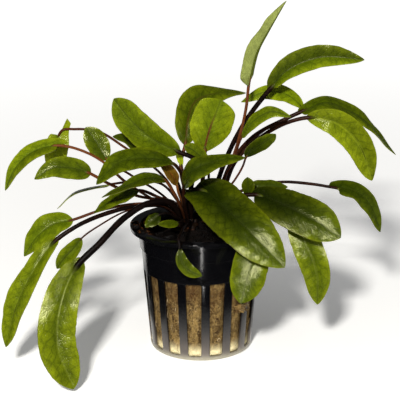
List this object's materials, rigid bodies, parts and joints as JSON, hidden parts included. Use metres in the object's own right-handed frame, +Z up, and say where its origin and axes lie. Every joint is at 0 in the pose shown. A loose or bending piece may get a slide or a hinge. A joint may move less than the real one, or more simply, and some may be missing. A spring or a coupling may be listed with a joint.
{
  "type": "potted aquarium plant",
  "caption": "Rosette of long-stalked green leaves rooted in rockwool inside a black slotted net pot, standing on the pot's flat base.",
  "frame": {"origin": "middle of the pot's underside, on the surface it stands on", "axes": "+Z up through the pot, -Y to the front as pictured, +X to the viewer's right"},
  "size_m": [0.1525, 0.0816, 0.135],
  "materials": {
    "pot": "glossy black moulding with a dusty bloom",
    "rockwool": "matte, matted fibre, golden brown and soil-stained",
    "rhizome": "matte dark bark",
    "leaf": "waxy green blade on a brown to black stalk",
    "old_leaf": "dull orange, going over"
  },
  "bodies": {
    "root": {"net_pot": "pot", "rockwool": "rockwool", "rhizome_left": "rhizome", "rhizome_right": "rhizome", "leaf_front_left_trailing": "leaf", "leaf_left_trailing": "leaf", "leaf_left_low": "leaf", "leaf_left_low_small": "leaf", "leaf_far_left": "leaf", "leaf_far_left_behind": "leaf", "leaf_left_middle": "leaf", "leaf_left_small_upright": "leaf", "leaf_left_arching": "leaf", "leaf_left_upper": "leaf", "leaf_left_upper_behind": "leaf", "leaf_left_inner": "leaf", "leaf_left_inner_low": "leaf", "leaf_left_narrow": "leaf", "leaf_old_orange": "old_leaf", "leaf_young_pale": "leaf", "leaf_mouth_left": "leaf", "leaf_mouth_left_small": "leaf", "leaf_centre_arching": "leaf", "leaf_centre_round": "leaf", "leaf_centre_back": "leaf", "leaf_centre_small": "leaf", "leaf_top_upright": "leaf", "leaf_upper_right": "leaf", "leaf_right_small_arching": "leaf", "leaf_right_turned_back": "leaf", "leaf_right_long_tip": "leaf", "leaf_right_hanging": "leaf", "leaf_right_small": "leaf", "leaf_back_right": "leaf", "leaf_back_right_small": "leaf", "leaf_far_right": "leaf", "leaf_right_large": "leaf", "leaf_front_large": "leaf", "leaf_front_right_hanging": "leaf", "leaf_front_hanging": "leaf", "leaf_front_small": "leaf"}
  },
  "joints": []
}
